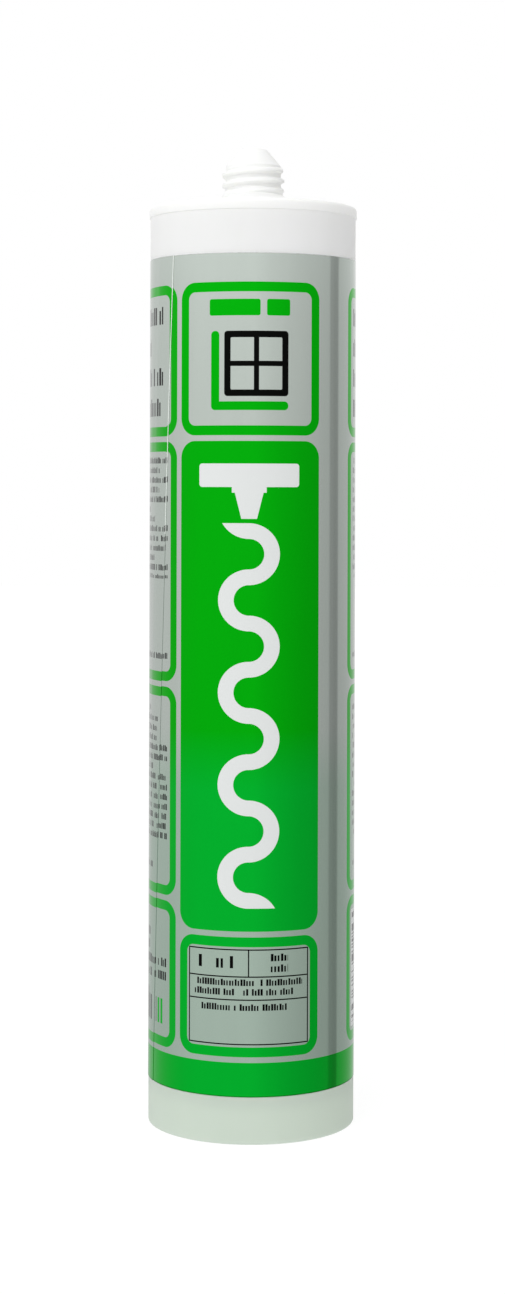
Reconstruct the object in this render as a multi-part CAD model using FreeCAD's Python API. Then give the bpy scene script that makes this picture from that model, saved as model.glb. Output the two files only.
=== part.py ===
import FreeCAD, Part
import math
import os
from FreeCAD import Vector

# A 310 ml sealant cartridge that stands on its open rear end.
# Millimetres, +Z up through the neck, origin at the centre of the foot, label front towards -Y.
# Places on the film are given as s, the distance round it from the front line, and as z.

# Barrel, one moulding with its head and neck
barrel_outer_radius = 24.5
barrel_wall = 1.3
body_length = 217.6
foot_edge_chamfer = 0.4
lead_in_step = 0.3
lead_in_depth = 7.5
lead_in_chamfer = 0.2

# Head
rim_overhang = 0.25
rim_height = 2.65
rim_edge_radius = 1.0
rim_width = 2.2
recess_depth = 1.0
recess_slope_width = 0.6
shoulder_rise = 3.0
shoulder_thickness = 1.8
neck_fillet = 3.0

# Neck, with its thread and its closed tip
neck_height = 14.1
neck_root_radius = 6.6
neck_bore_radius = 4.4
tip_flat_radius = 3.2
tip_edge_radius = 0.8
tip_cone_height = 4.1
tip_thickness = 1.3
tip_bore_radius = 1.9
thread_depth = 0.85
thread_pitch = 2.4
thread_crest_width = 0.45
thread_root_width = 1.7
thread_start_above_rim = 2.3
thread_end_below_cone = 0.8
thread_start_angle = 75.0
thread_sink = 0.3

# Piston
piston_recess = 8.0
piston_height = 20.0
piston_wall = 1.2
piston_running_gap = 0.05
piston_waist_gap = 0.6
piston_lip_height = 2.2
piston_lip_slope = 0.6
piston_edge_chamfer = 0.8
piston_face_thickness = 1.5
piston_rib_count = 8
piston_rib_thickness = 1.2
piston_rib_height = 5.0
piston_boss_radius = 6.0
piston_boss_height = 6.5

# Sealant paste
paste_piston_gap = 0.3
paste_wall_gap = 0.05
stop_gap = 0.3

# Label film and its lap
film_thickness = 0.08
label_bottom = 11.0
bare_head_height = 10.15
lap_width = 6.0
lap_inside_column = 2.05

# Printed panels
ink_thickness = 0.06
stamp_reach = 1.0
band_height = 7.9
front_column_centre = -0.75
front_column_width = 34.7
narrow_gap = 1.45
wide_gap = 11.6
panel_gap = 1.3
frame_stroke = 2.25
frame_corner = 4.0
panels_top_margin = 6.65
top_panel_height = 35.25
table_panel_height = 27.5
address_panel_height = 34.2
lower_text_panel_height = 48.6

# Front emblem: a window with a bead along two of its sides
heading_height = 3.8
heading_widths = [12.0, 5.5]
heading_space = 1.5
heading_top_margin = 1.7
window_size = 15.0
window_stroke = 1.5
window_bar = 1.2
window_bead_width = 2.0
window_bead_gap = 1.2

# White picture on the tall panel: a cartridge with its nozzle down, over a wavy bead
cartridge_width = 23.0
cartridge_body_height = 5.4
cartridge_body_corner = 1.2
cartridge_collar_width = 8.0
cartridge_collar_height = 1.3
nozzle_top_width = 6.6
nozzle_height = 6.0
picture_top_margin = 5.2
bead_gap = 1.0
bead_width = 3.6
bead_overall_width = 14.2
bead_end_margin = 4.0

# Ruled table on the lowest front panel
rule_width = 0.3
table_margin = 0.5
table_top_row = 6.2
table_middle_row = 5.3
table_text_height = 1.3
table_text_pitch = 2.2
table_text_margin = 1.2

# Text stand-ins on the side columns
text_margin = 2.2
large_text_height = 3.6
large_text_pitch = 7.1
large_text_shares = [0.78, 0.92, 0.55, 0.84]
fine_text_height = 1.5
fine_text_pitch = 5.6
fine_text_shares = [0.96, 1.0, 0.62, 0.9, 0.45]
address_text_height = 1.5
address_text_pitch = 3.2
address_text_shares = [0.6, 0.48, 0.52]
word_height = 7.5
word_dark_width = 18.0
word_green_width = 8.0
word_space = 1.0
barcode_width = 15.0
barcode_margin = 1.2
barcode_shares = [0.4, 0.2, 0.6, 0.3, 0.4, 0.2, 0.6, 0.4]

# Values that follow from the ones above
bore_radius = barrel_outer_radius - barrel_wall
lead_in_radius = bore_radius + lead_in_step
rim_radius = barrel_outer_radius + rim_overhang
rim_bottom = body_length - rim_height
rim_inner_radius = rim_radius - rim_edge_radius - rim_width
recess_radius = rim_inner_radius - recess_slope_width
recess_floor = body_length - recess_depth
shoulder_inner_radius = neck_root_radius + neck_fillet
shoulder_top = recess_floor + shoulder_rise
shoulder_slope = shoulder_rise / (recess_radius - shoulder_inner_radius)
tip_top = body_length + neck_height
cone_bottom = tip_top - tip_cone_height
thread_crest_radius = neck_root_radius + thread_depth
film_radius = barrel_outer_radius + film_thickness
label_top = rim_bottom - bare_head_height
label_height = label_top - label_bottom
band_top = label_bottom + band_height
panels_bottom = band_top + panel_gap
panels_top = label_top - panels_top_margin
circumference = 2 * math.pi * film_radius
front_left = front_column_centre - front_column_width / 2
front_right = front_column_centre + front_column_width / 2
side_column_width = (circumference - front_column_width - narrow_gap - 2 * wide_gap) / 2
left_column_right = front_left - narrow_gap
left_column_left = left_column_right - side_column_width
right_column_left = front_right + wide_gap
right_column_right = right_column_left + side_column_width
seam = left_column_right - lap_inside_column
piston_radius = bore_radius - piston_running_gap
piston_top = piston_recess + piston_height
piston_floor = piston_top - piston_face_thickness

centre = Vector(0, 0, 0)
up = Vector(0, 0, 1)


def underside_height(radius):
    """Height of the shoulder's underside at a radius."""
    return recess_floor - shoulder_thickness + shoulder_slope * (recess_radius - radius)


def revolved(points, arcs=()):
    """Solid of revolution about Z of (radius, z) points. arcs maps a point's index to its fillet radius."""
    corners = [Vector(radius, 0, z) for radius, z in points]
    fillets = dict(arcs)
    edges = []
    first = None
    previous = None
    for index, corner in enumerate(corners):
        start = end = corner
        arc = None
        if index in fillets:
            start, end, arc = fillet_arc(
                corners[index - 1], corner, corners[(index + 1) % len(corners)], fillets[index]
            )
        if previous is not None and previous.distanceToPoint(start) > 1e-6:
            edges.append(Part.LineSegment(previous, start).toShape())
        if arc is not None:
            edges.append(arc)
        if first is None:
            first = start
        previous = end
    edges.append(Part.LineSegment(previous, first).toShape())
    return Part.Face(Part.Wire(edges)).revolve(centre, up, 360)


def fillet_arc(before, corner, after, radius):
    """Start, end and arc of a fillet between the lines before-corner and corner-after."""
    back = (before - corner).normalize()
    ahead = (after - corner).normalize()
    half = back.getAngle(ahead) / 2
    reach = radius / math.tan(half)
    start = corner + back * reach
    end = corner + ahead * reach
    middle_line = (back + ahead).normalize()
    middle = corner + middle_line * (radius / math.sin(half) - radius)
    return start, end, Part.Arc(start, middle, end).toShape()


def film_angle(s):
    """Angle in degrees about +Z of a place s on the film, where s = 0 faces -Y."""
    return math.degrees(s / film_radius) - 90


def sector(inner, outer, s_left, s_right, z_bottom, z_top):
    """Part of a tube wall between two places on the film."""
    corners = [
        Vector(inner, 0, z_bottom),
        Vector(outer, 0, z_bottom),
        Vector(outer, 0, z_top),
        Vector(inner, 0, z_top),
    ]
    section = Part.Face(Part.makePolygon(corners + corners[:1]))
    solid = section.revolve(centre, up, film_angle(s_right) - film_angle(s_left))
    solid.rotate(centre, up, film_angle(s_left))
    return solid


def ink(level):
    """Skin as thick as one ink layer that follows the film and steps up over the lap."""
    low = level * ink_thickness
    high = low + ink_thickness
    lap_left = seam - lap_width
    single = sector(
        film_radius + low, film_radius + high, seam, lap_left + circumference, label_bottom, label_top
    )
    step = film_radius + film_thickness
    doubled = sector(step + low, step + high, lap_left, seam, label_bottom, label_top)
    return Part.makeCompound([single, doubled])


def stamp(box, corner=0.0):
    """Thick block that cuts a (left, right, bottom, top) rectangle out of an ink layer."""
    s_left, s_right, z_bottom, z_top = box
    inner = barrel_outer_radius - stamp_reach
    outer = film_radius + stamp_reach
    block = sector(inner, outer, s_left, s_right, z_bottom, z_top)
    if corner == 0.0:
        return block
    cutters = []
    for side, s_edge in ((-1, s_left), (1, s_right)):
        for height, z_edge in ((-1, z_bottom), (1, z_top)):
            cutters.append(corner_cutter(inner, outer, corner, side, s_edge, height, z_edge))
    return block.cut(cutters)


def corner_cutter(inner, outer, corner, side, s_edge, height, z_edge):
    """Square block less a round rod, which rounds one corner of a stamp."""
    inner -= stamp_reach
    outer += stamp_reach
    square = Part.makeBox(outer - inner, 2 * corner, 2 * corner, Vector(inner, 0, 0))
    if side < 0:
        square.translate(Vector(0, -2 * corner, 0))
    if height < 0:
        square.translate(Vector(0, 0, -2 * corner))
    rod = Part.makeCylinder(
        corner, outer - inner + 2 * stamp_reach, Vector(inner - stamp_reach, 0, 0), Vector(1, 0, 0)
    )
    cutter = square.cut(rod)
    cutter.rotate(centre, up, film_angle(s_edge - side * corner))
    cutter.translate(Vector(0, 0, z_edge - height * corner))
    return cutter


def inset(box, margin):
    """A (left, right, bottom, top) rectangle made smaller by a margin all round."""
    left, right, bottom, top = box
    return left + margin, right - margin, bottom + margin, top - margin


def frame_stamp(box, stroke, corner=0.0):
    """Rectangular frame of one stroke's width."""
    return stamp(box, corner).cut(stamp(inset(box, stroke)))


def text_stamps(box, shares, height, pitch):
    """Bars that stand for rows of text, each as long as its share of the width, while they fit."""
    left, right, bottom, top = box
    rows = []
    for row, share in enumerate(shares):
        row_top = top - row * pitch
        if row_top - height < bottom:
            break
        rows.append(stamp((left, left + share * (right - left), row_top - height, row_top)))
    return rows


def printed(level, stamps):
    """The ink that a list of stamps leaves on one layer."""
    block = stamps[0]
    if len(stamps) > 1:
        block = block.multiFuse(stamps[1:])
    return ink(level).common(block).Solids


def front_prism(corners):
    """Prism through the front of the film, from (x, z) corners as seen from the front."""
    points = [Vector(x, -barrel_outer_radius / 2, z) for x, z in corners]
    face = Part.Face(Part.makePolygon(points + points[:1]))
    return face.extrude(Vector(0, -barrel_outer_radius, 0))


def half_ring_prism(x, z, radius, width, side):
    """Half of a ring that bulges to one side, through the front of the film."""
    y = -barrel_outer_radius / 2
    depth = barrel_outer_radius
    back = Vector(0, -1, 0)
    outer = Part.makeCylinder(radius + width / 2, depth, Vector(x, y, z), back)
    inner = Part.makeCylinder(radius - width / 2, depth, Vector(x, y, z), back)
    reach = radius + width
    half = Part.makeBox(reach, depth, 2 * reach, Vector(x, y - depth, z - reach))
    if side < 0:
        half.translate(Vector(-reach, 0, 0))
    return outer.cut(inner).common(half)


def make_barrel():
    """Tube, head rim, coned shoulder, threaded neck and closed tip in one moulding."""
    outside = [
        (lead_in_radius + lead_in_chamfer, 0),
        (barrel_outer_radius - foot_edge_chamfer, 0),
        (barrel_outer_radius, foot_edge_chamfer),
        (barrel_outer_radius, rim_bottom),
        (rim_radius, rim_bottom),
        (rim_radius, body_length),
        (rim_inner_radius, body_length),
        (recess_radius, recess_floor),
        (neck_root_radius, shoulder_top + shoulder_slope * neck_fillet),
        (neck_root_radius, cone_bottom),
        (tip_flat_radius, tip_top),
        (0, tip_top),
    ]
    inside = [
        (0, tip_top - tip_thickness),
        (tip_bore_radius, tip_top - tip_thickness),
        (neck_bore_radius, cone_bottom - tip_thickness),
        (neck_bore_radius, underside_height(neck_bore_radius)),
        (bore_radius, underside_height(bore_radius)),
        (bore_radius, lead_in_depth),
        (lead_in_radius, lead_in_depth),
        (lead_in_radius, lead_in_chamfer),
    ]
    rounded = {
        outside.index((rim_radius, body_length)): rim_edge_radius,
        outside.index((neck_root_radius, shoulder_top + shoulder_slope * neck_fillet)): neck_fillet,
        outside.index((tip_flat_radius, tip_top)): tip_edge_radius,
    }
    body = revolved(outside + inside, rounded)
    return body.fuse(make_thread()).Solids[0]


def make_thread():
    """Single-start right-hand rib on the neck, its last crest run out under the tip's cone."""
    root = neck_root_radius - thread_sink
    start = body_length + thread_start_above_rim
    rise = cone_bottom - thread_end_below_cone - start
    helix = Part.makeHelix(thread_pitch, rise, neck_root_radius)
    corners = [
        Vector(root, 0, -thread_root_width / 2),
        Vector(thread_crest_radius, 0, -thread_crest_width / 2),
        Vector(thread_crest_radius, 0, thread_crest_width / 2),
        Vector(root, 0, thread_root_width / 2),
    ]
    section = Part.makePolygon(corners + corners[:1])
    rib = Part.Wire(helix.Edges).makePipeShell([section], True, True)
    rib.rotate(centre, up, thread_start_angle)
    rib.translate(Vector(0, 0, start))
    # The tip's cone, carried on outwards, is as far as the crest may reach
    reach = thread_crest_radius + thread_depth
    reach_height = (reach - tip_flat_radius) * tip_cone_height / (neck_root_radius - tip_flat_radius)
    reach_bottom = tip_top - reach_height
    cone = Part.makeCone(reach, tip_flat_radius, reach_height, Vector(0, 0, reach_bottom))
    skirt = Part.makeCylinder(reach, neck_height, Vector(0, 0, reach_bottom - neck_height))
    return rib.common(cone.fuse(skirt))


def make_piston():
    """Cup that opens to the rear, with a sealing lip at each end of its skirt, ribs and a boss."""
    waist = bore_radius - piston_waist_gap
    cup_radius = waist - piston_wall
    edge_radius = bore_radius - piston_edge_chamfer
    lip_top = piston_top - (piston_radius - edge_radius)
    cup = revolved([
        (cup_radius, piston_recess),
        (piston_radius, piston_recess),
        (piston_radius, piston_recess + piston_lip_height),
        (waist, piston_recess + piston_lip_height + piston_lip_slope),
        (waist, lip_top - piston_lip_height - piston_lip_slope),
        (piston_radius, lip_top - piston_lip_height),
        (piston_radius, lip_top),
        (edge_radius, piston_top),
        (0, piston_top),
        (0, piston_floor),
        (cup_radius, piston_floor),
    ])
    boss_bottom = Vector(0, 0, piston_floor - piston_boss_height)
    boss = Part.makeCylinder(piston_boss_radius, piston_boss_height, boss_bottom)
    boss_bore = Part.makeCylinder(piston_boss_radius - piston_wall, piston_boss_height, boss_bottom)
    # Each rib reaches half a wall into the boss, the skirt and the face
    rib_inner = piston_boss_radius - piston_wall / 2
    rib_length = cup_radius + piston_wall / 2 - rib_inner
    rib_height = piston_rib_height + piston_face_thickness / 2
    rib_corner = Vector(rib_inner, -piston_rib_thickness / 2, piston_floor - piston_rib_height)
    ribs = []
    for index in range(piston_rib_count):
        rib = Part.makeBox(rib_length, piston_rib_thickness, rib_height, rib_corner)
        rib.rotate(centre, up, index * 360 / piston_rib_count)
        ribs.append(rib)
    return cup.fuse([boss.cut(boss_bore)] + ribs).removeSplitter().Solids[0]


def make_sealant():
    """The paste that fills the barrel from the piston's face to the closed tip."""
    radius = bore_radius - paste_wall_gap
    neck = neck_bore_radius - paste_wall_gap
    top = tip_top - tip_thickness - paste_wall_gap
    return revolved([
        (0, piston_top + paste_piston_gap),
        (radius, piston_top + paste_piston_gap),
        (radius, underside_height(radius) - paste_wall_gap),
        (neck, underside_height(neck) - paste_wall_gap),
        (neck, cone_bottom - tip_thickness),
        (tip_bore_radius - paste_wall_gap, top),
        (0, top),
    ])


def make_label():
    """Film wrapped once round the barrel, its end glued down over its start."""
    outer = Part.makeCylinder(film_radius, label_height, Vector(0, 0, label_bottom))
    inner = Part.makeCylinder(barrel_outer_radius, label_height, Vector(0, 0, label_bottom))
    lap = sector(
        film_radius, film_radius + film_thickness, seam - lap_width, seam, label_bottom, label_top
    )
    return outer.cut(inner).fuse(lap).Solids[0]


def stacked_panels(left, right, heights):
    """Panels of a column from the lowest up; the one with no height takes the room that is left."""
    spare = panels_top - panels_bottom - sum(heights) - panel_gap * (len(heights) - 1)
    panels = []
    bottom = panels_bottom
    for height in heights:
        top = bottom + (height or spare)
        panels.append((left, right, bottom, top))
        bottom = top + panel_gap
    return panels


def front_panels():
    """The table's panel, the tall panel and the emblem's panel."""
    return stacked_panels(front_left, front_right, [table_panel_height, 0, top_panel_height])


def side_panels(left, right):
    """The four panels of a side column."""
    heights = [address_panel_height, lower_text_panel_height, 0, top_panel_height]
    return stacked_panels(left, right, heights)


def window_box():
    """The emblem's window, midway between the heading and the frame below, beside its bead."""
    left, right, bottom, top = inset(front_panels()[2], frame_stroke)
    top -= heading_top_margin + heading_height
    whole = window_size + window_bead_gap + window_bead_width
    window_right = (left + right + whole) / 2
    window_top = (bottom + top + whole) / 2
    return window_right - window_size, window_right, window_top - window_size, window_top


def heading_stamps():
    """Two blocks in place of a heading, side by side over the window."""
    top = front_panels()[2][3] - frame_stroke - heading_top_margin
    left = front_column_centre - (sum(heading_widths) + heading_space) / 2
    blocks = []
    for width in heading_widths:
        blocks.append(stamp((left, left + width, top - heading_height, top)))
        left += width + heading_space
    return blocks


def window_bead_stamps():
    """A bead below the window and up its left side, outside its frame."""
    left, right, bottom, top = window_box()
    bead_left = left - window_bead_gap - window_bead_width
    bead_bottom = bottom - window_bead_gap - window_bead_width
    low = stamp((bead_left, right, bead_bottom, bead_bottom + window_bead_width))
    side = stamp((bead_left, bead_left + window_bead_width, bead_bottom, top))
    return [low, side]


def window_stamps():
    """Frame, post and rail of the emblem's window."""
    left, right, bottom, top = window_box()
    middle_s = (left + right) / 2
    middle_z = (bottom + top) / 2
    half = window_bar / 2
    frame = frame_stamp(window_box(), window_stroke)
    post = stamp((middle_s - half, middle_s + half, bottom, top))
    rail = stamp((left, right, middle_z - half, middle_z + half))
    return [frame, post, rail]


def word_boxes():
    """Dark and green blocks low on the left column, in place of one long word."""
    left, right, bottom, top = inset(
        side_panels(left_column_left, left_column_right)[0], frame_stroke + text_margin
    )
    green_left = right - lap_inside_column - word_green_width
    dark_right = green_left - word_space
    dark = (dark_right - word_dark_width, dark_right, bottom, bottom + word_height)
    green = (green_left, right - lap_inside_column, bottom, bottom + word_height)
    return dark, green


def make_green_print():
    """Band, frames, the tall panel, and the green parts of the emblem and of the long word's place."""
    table, tall, emblem = front_panels()
    stamps = [stamp((seam, seam + circumference, label_bottom - stamp_reach, band_top))]
    stamps.append(stamp(tall, frame_corner))
    framed = [table, emblem]
    framed += side_panels(left_column_left, left_column_right)
    framed += side_panels(right_column_left, right_column_right)
    stamps += [frame_stamp(panel, frame_stroke, frame_corner) for panel in framed]
    stamps += heading_stamps()
    stamps += window_bead_stamps()
    stamps.append(stamp(word_boxes()[1]))
    return Part.makeCompound(printed(0, stamps))


def cartridge_prism(top):
    """A small cartridge seen from the side, with its nozzle pointing down."""
    body_bottom = top - cartridge_body_height
    collar_bottom = body_bottom - cartridge_collar_height
    right_side = [
        (bead_width / 2, collar_bottom - nozzle_height),
        (nozzle_top_width / 2, collar_bottom),
        (cartridge_collar_width / 2, collar_bottom),
        (cartridge_collar_width / 2, body_bottom),
        (cartridge_width / 2, body_bottom),
        (cartridge_width / 2, top - cartridge_body_corner),
        (cartridge_width / 2 - cartridge_body_corner, top),
    ]
    left_side = [(-x, z) for x, z in reversed(right_side)]
    return front_prism([(front_column_centre + x, z) for x, z in right_side + left_side])


def bead_prisms(bottom, top):
    """Half rings that bulge right and left in turn, one under the other, as many as fit."""
    radius = (bead_overall_width - bead_width) / 2
    side = 1
    rings = []
    z = top - bead_width / 2 - radius
    while z - radius - bead_width / 2 >= bottom:
        rings.append(half_ring_prism(front_column_centre, z, radius, bead_width, side))
        side = -side
        z -= 2 * radius
    return rings


def barcode_box():
    """The barcode's pale field, at the near side of the right column's lowest panel."""
    panel = inset(side_panels(right_column_left, right_column_right)[0], frame_stroke + barcode_margin)
    return panel[0], panel[0] + barcode_width, panel[2], panel[3]


def make_white_print():
    """The picture on the tall panel and the field behind the barcode."""
    bottom, top = front_panels()[1][2:]
    top -= picture_top_margin
    nozzle_tip = top - cartridge_body_height - cartridge_collar_height - nozzle_height
    picture = [cartridge_prism(top)]
    picture += bead_prisms(bottom + bead_end_margin, nozzle_tip - bead_gap)
    field = printed(0, [stamp(barcode_box())])
    return Part.makeCompound(printed(1, picture) + field)


def table_stamps():
    """Thin rules of the table on the lowest front panel, and its rows of text."""
    table = inset(front_panels()[0], frame_stroke + table_margin)
    left, right, bottom, top = table
    first_rule = top - table_top_row
    second_rule = first_rule - table_middle_row
    middle = front_column_centre
    rules = [
        frame_stamp(table, rule_width),
        stamp((left, right, first_rule - rule_width, first_rule)),
        stamp((left, right, second_rule - rule_width, second_rule)),
        stamp((middle, middle + rule_width, first_rule - rule_width, top)),
    ]
    cells = [
        ((left, middle, first_rule, top), [1.0]),
        ((middle, right, first_rule, top), [1.0, 0.6]),
        ((left, right, second_rule, first_rule), [1.0, 0.7]),
        ((left, right, bottom, second_rule), [0.85]),
    ]
    text = []
    for cell, shares in cells:
        text += text_stamps(
            inset(cell, table_text_margin), shares, table_text_height, table_text_pitch
        )
    return rules + text


def column_text_stamps(left, right):
    """Rows of text on the upper three panels of a side column."""
    address, lower, upper, high = side_panels(left, right)
    margin = frame_stroke + text_margin
    rows = text_stamps(inset(high, margin), large_text_shares, large_text_height, large_text_pitch)
    for panel in (upper, lower):
        rows += text_stamps(inset(panel, margin), fine_text_shares, fine_text_height, fine_text_pitch)
    return rows


def address_stamps():
    """Rows of text over the long word's place on the left column's lowest panel."""
    panel = side_panels(left_column_left, left_column_right)[0]
    left, right, bottom, top = inset(panel, frame_stroke + text_margin)
    space = (left, right, bottom + word_height + word_space, top)
    return text_stamps(space, address_text_shares, address_text_height, address_text_pitch)


def barcode_stamps():
    """Dark bars across the barcode's field, evenly spaced and of uneven thickness."""
    left, right, bottom, top = barcode_box()
    pitch = (top - bottom) / len(barcode_shares)
    bars = []
    for index, share in enumerate(barcode_shares):
        middle = bottom + (index + 0.5) * pitch
        half = share * pitch / 2
        bars.append(stamp((left, right, middle - half, middle + half)))
    return bars


def make_black_print():
    """Window of the emblem, table, rows of text, the dark word block and the barcode's bars."""
    stamps = window_stamps() + table_stamps()
    stamps += column_text_stamps(left_column_left, left_column_right)
    stamps += column_text_stamps(right_column_left, right_column_right)
    stamps += address_stamps()
    stamps.append(stamp(word_boxes()[0]))
    return Part.makeCompound(printed(0, stamps) + printed(1, barcode_stamps()))


makers = {
    "barrel": make_barrel,
    "piston": make_piston,
    "sealant": make_sealant,
    "label": make_label,
    "green_print": make_green_print,
    "white_print": make_white_print,
    "black_print": make_black_print,
}

os.makedirs("parts", exist_ok=True)
for node, maker in makers.items():
    shape = maker()
    shape.exportStep("parts/" + node + ".step")
    print(node, len(shape.Solids), "solids", round(shape.Volume, 2), "mm3, valid", shape.isValid())

travel = underside_height(bore_radius) - piston_top - stop_gap
print("piston travel", round(travel, 2), "mm")
print("paste", round(make_sealant().Volume / 1000, 1), "ml")
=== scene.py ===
import math
import bpy
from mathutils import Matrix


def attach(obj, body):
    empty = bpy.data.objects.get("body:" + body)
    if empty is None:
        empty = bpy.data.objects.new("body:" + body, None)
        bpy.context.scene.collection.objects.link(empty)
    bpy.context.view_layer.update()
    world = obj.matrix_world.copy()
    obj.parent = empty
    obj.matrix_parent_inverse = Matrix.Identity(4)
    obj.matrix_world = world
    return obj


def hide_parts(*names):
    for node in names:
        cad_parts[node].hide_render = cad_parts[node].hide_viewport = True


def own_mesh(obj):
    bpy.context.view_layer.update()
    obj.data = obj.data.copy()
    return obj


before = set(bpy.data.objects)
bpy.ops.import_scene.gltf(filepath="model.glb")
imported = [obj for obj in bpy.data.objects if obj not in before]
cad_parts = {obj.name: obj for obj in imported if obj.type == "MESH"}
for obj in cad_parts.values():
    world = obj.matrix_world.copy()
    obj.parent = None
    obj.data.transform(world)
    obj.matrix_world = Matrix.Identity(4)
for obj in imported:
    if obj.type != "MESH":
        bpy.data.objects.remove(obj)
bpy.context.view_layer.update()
print("frame loaded with", len(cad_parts), "nodes")

mm = 0.001
fullTurn = 2 * math.pi
roundSteps = 160


# Small tools for modelling

def deselectAll():
    if bpy.context.object and bpy.context.object.mode != "OBJECT":
        bpy.ops.object.mode_set(mode="OBJECT")
    bpy.ops.object.select_all(action="DESELECT")


def makeActive(piece):
    deselectAll()
    piece.select_set(True)
    bpy.context.view_layer.objects.active = piece


def roundCorner(before, corner, after, radius, steps=6):
    # points of an arc that rounds the corner between two straight runs
    back = (before[0] - corner[0], before[1] - corner[1])
    ahead = (after[0] - corner[0], after[1] - corner[1])
    backLength = math.hypot(*back)
    aheadLength = math.hypot(*ahead)
    back = (back[0] / backLength, back[1] / backLength)
    ahead = (ahead[0] / aheadLength, ahead[1] / aheadLength)
    half = math.acos(max(-1, min(1, back[0] * ahead[0] + back[1] * ahead[1]))) / 2
    middle = (back[0] + ahead[0], back[1] + ahead[1])
    middleLength = math.hypot(*middle)
    reach = radius / math.sin(half)
    centre = (corner[0] + middle[0] / middleLength * reach, corner[1] + middle[1] / middleLength * reach)
    run = radius / math.tan(half)
    start = (corner[0] + back[0] * run, corner[1] + back[1] * run)
    end = (corner[0] + ahead[0] * run, corner[1] + ahead[1] * run)
    startAngle = math.atan2(start[1] - centre[1], start[0] - centre[0])
    endAngle = math.atan2(end[1] - centre[1], end[0] - centre[0])
    sweep = (endAngle - startAngle + math.pi) % fullTurn - math.pi
    arc = []
    for step in range(steps + 1):
        angle = startAngle + sweep * step / steps
        arc.append((centre[0] + radius * math.cos(angle), centre[1] + radius * math.sin(angle)))
    return arc


def roundedOutline(corners):
    # corners are (radius, height) or (radius, height, rounding), all in mm
    outline = []
    for index, corner in enumerate(corners):
        if len(corner) == 3:
            outline += roundCorner(corners[index - 1][:2], corner[:2], corners[index + 1][:2], corner[2])
        else:
            outline.append(corner)
    return outline


def drawOutline(name, outline):
    # one vertex is pulled along the outline, point by point, in the plane y = 0
    deselectAll()
    bpy.ops.mesh.primitive_plane_add(size=mm, location=(0, 0, 0))
    piece = bpy.context.object
    piece.name = name
    bpy.ops.object.mode_set(mode="EDIT")
    bpy.ops.mesh.select_all(action="SELECT")
    bpy.ops.mesh.merge(type="CENTER")
    bpy.ops.transform.translate(value=(outline[0][0] * mm, 0, outline[0][1] * mm))
    for start, end in zip(outline, outline[1:]):
        step = ((end[0] - start[0]) * mm, 0, (end[1] - start[1]) * mm)
        bpy.ops.mesh.extrude_region_move(TRANSFORM_OT_translate={"value": step})
    return piece


def spinRound(steps=roundSteps):
    # turns the outline that is being edited into a closed body about the upright axis
    bpy.ops.mesh.select_all(action="SELECT")
    bpy.ops.mesh.spin(steps=steps, angle=fullTurn, center=(0, 0, 0), axis=(0, 0, 1))
    bpy.ops.mesh.select_all(action="SELECT")
    bpy.ops.mesh.remove_doubles(threshold=0.002 * mm)
    bpy.ops.mesh.normals_make_consistent(inside=False)
    bpy.ops.object.mode_set(mode="OBJECT")


def smoothShade(piece, degrees=35):
    makeActive(piece)
    bpy.ops.object.shade_smooth_by_angle(angle=math.radians(degrees))


# Small tools for materials

def paint(red, green, blue):
    # a colour written as 0 to 255, turned into the linear values that a shader takes
    linear = []
    for value in (red, green, blue):
        share = value / 255
        linear.append(share / 12.92 if share <= 0.04045 else ((share + 0.055) / 1.055) ** 2.4)
    return (*linear, 1)


class Reading:
    # a value in a node tree: sums written on it become Math nodes

    def __init__(self, finish, socket):
        self.finish = finish
        self.socket = socket

    def __add__(self, other):
        return self.finish.maths("ADD", self, other)

    def __radd__(self, other):
        return self.finish.maths("ADD", other, self)

    def __sub__(self, other):
        return self.finish.maths("SUBTRACT", self, other)

    def __rsub__(self, other):
        return self.finish.maths("SUBTRACT", other, self)

    def __mul__(self, other):
        return self.finish.maths("MULTIPLY", self, other)

    def __rmul__(self, other):
        return self.finish.maths("MULTIPLY", other, self)

    def __truediv__(self, other):
        return self.finish.maths("DIVIDE", self, other)

    def __lt__(self, other):
        return self.finish.maths("LESS_THAN", self, other)

    def __gt__(self, other):
        return self.finish.maths("GREATER_THAN", self, other)

    def __abs__(self):
        return self.finish.maths("ABSOLUTE", self)

    def atLeast(self, other):
        return self.finish.maths("MAXIMUM", self, other)

    def atMost(self, other):
        return self.finish.maths("MINIMUM", self, other)

    def whole(self):
        return self.finish.maths("FLOOR", self)

    def rest(self):
        return self.finish.maths("FRACT", self)

    def root(self):
        return self.finish.maths("SQRT", self)

    def between(self, low, high):
        return (self > low) * (self < high)


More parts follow.
